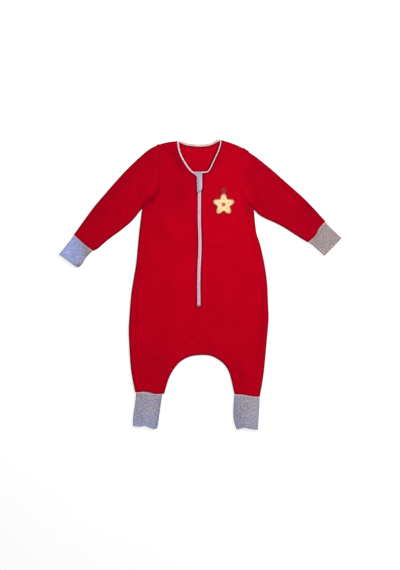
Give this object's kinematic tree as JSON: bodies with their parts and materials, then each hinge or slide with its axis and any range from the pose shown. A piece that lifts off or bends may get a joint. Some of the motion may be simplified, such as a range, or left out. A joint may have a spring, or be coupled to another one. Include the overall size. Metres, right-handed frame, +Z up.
{
  "type": "child's sleep sack with sleeves and legs",
  "caption": "Child's zip-front sleep sack with long sleeves, wide body, arched crotch and ribbed wrist and ankle cuffs, laid flat with its front up.",
  "frame": {"origin": "on the surface the garment lies on, under the middle of its bounding box", "axes": "+Z up through the back and then the front, +Y towards the neck, +X towards the wearer's left sleeve"},
  "size_m": [0.7648, 0.786, 0.0113],
  "materials": {
    "red_jersey": "soft matt cotton jersey, dyed red",
    "grey_rib": "speckled grey rib knit, doubled",
    "pale_binding": "pale folded cotton binding",
    "beige_binding": "beige folded cotton binding",
    "zip_tape": "pale woven zip tape",
    "zip_coil": "pale nylon coil",
    "zip_metal": "dark brown plated metal",
    "cover_tab": "speckled grey knit",
    "patch_cloth": "tan felt with stitched lines"
  },
  "bodies": {
    "root": {"front_right": "red_jersey", "front_left": "red_jersey", "back": "red_jersey", "sleeve_right": "red_jersey", "sleeve_left": "red_jersey", "wrist_cuff_right": "grey_rib", "wrist_cuff_left": "grey_rib", "ankle_cuff_right": "grey_rib", "ankle_cuff_left": "grey_rib", "neck_binding_right": "pale_binding", "neck_binding_left": "pale_binding", "neck_binding_back": "beige_binding", "zip_tape_right": "zip_tape", "zip_tape_left": "zip_tape", "zip_chain": "zip_coil", "zip_stop": "zip_metal", "zip_slider": "zip_metal", "zip_pull": "zip_metal", "zip_garage": "cover_tab", "chest_patch": "patch_cloth"}
  },
  "joints": []
}
